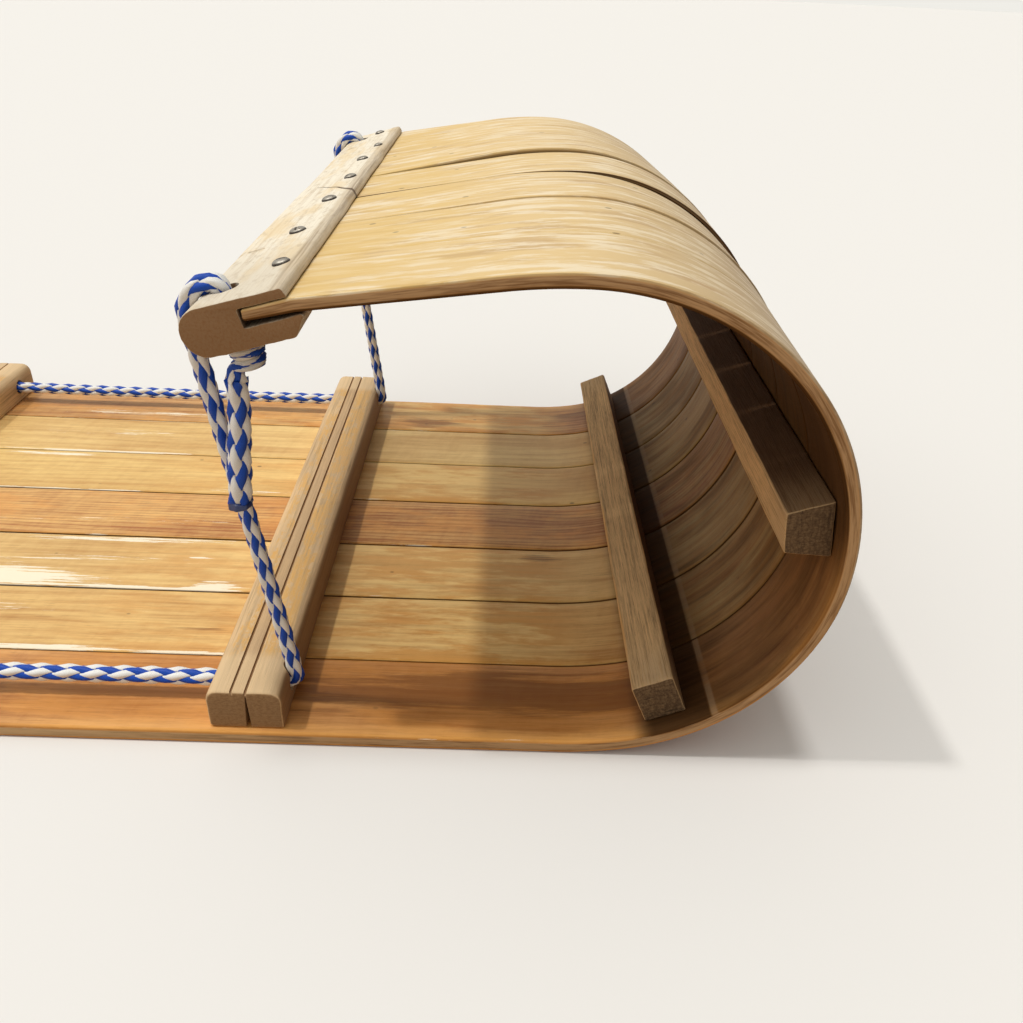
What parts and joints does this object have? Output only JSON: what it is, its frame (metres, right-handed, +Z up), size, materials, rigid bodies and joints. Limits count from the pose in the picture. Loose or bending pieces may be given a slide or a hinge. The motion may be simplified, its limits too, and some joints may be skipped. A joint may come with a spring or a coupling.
{
  "type": "wooden toboggan",
  "caption": "Old flat-bottomed wooden toboggan: bent slats on crossbars, the front rolled into a curl gripped by a slotted nose bar, with side ropes.",
  "frame": {"origin": "middle of the length and width, at the underside of the deck", "axes": "+X towards the curl at the front, +Y to the toboggan's left, +Z up"},
  "size_m": [1.56, 0.406, 0.253],
  "materials": {
    "slat_wood": "old honey-coloured varnish, worn through along the slats' edges",
    "crossbar_wood": "weathered grey-tan with remains of orange varnish",
    "plain_bar_wood": "bare, grey and coarse-grained",
    "nose_wood": "bare, bleached pale grey",
    "rope": "braided, blue and white",
    "screws": "dull, slightly rusted"
  },
  "bodies": {
    "root": {"slat_1": "slat_wood", "slat_2": "slat_wood", "slat_3": "slat_wood", "slat_4": "slat_wood", "slat_5": "slat_wood", "slat_6": "slat_wood", "slat_7": "slat_wood", "crossbar_1": "crossbar_wood", "crossbar_2": "crossbar_wood", "crossbar_3": "crossbar_wood", "crossbar_4": "crossbar_wood", "crossbar_5": "crossbar_wood", "curl_start_bar": "plain_bar_wood", "curl_bar": "plain_bar_wood", "nose_bar": "nose_wood", "side_rope_right": "rope", "side_rope_left": "rope", "rope_tail_right": "rope", "rope_tail_left": "rope"}
  },
  "joints": []
}
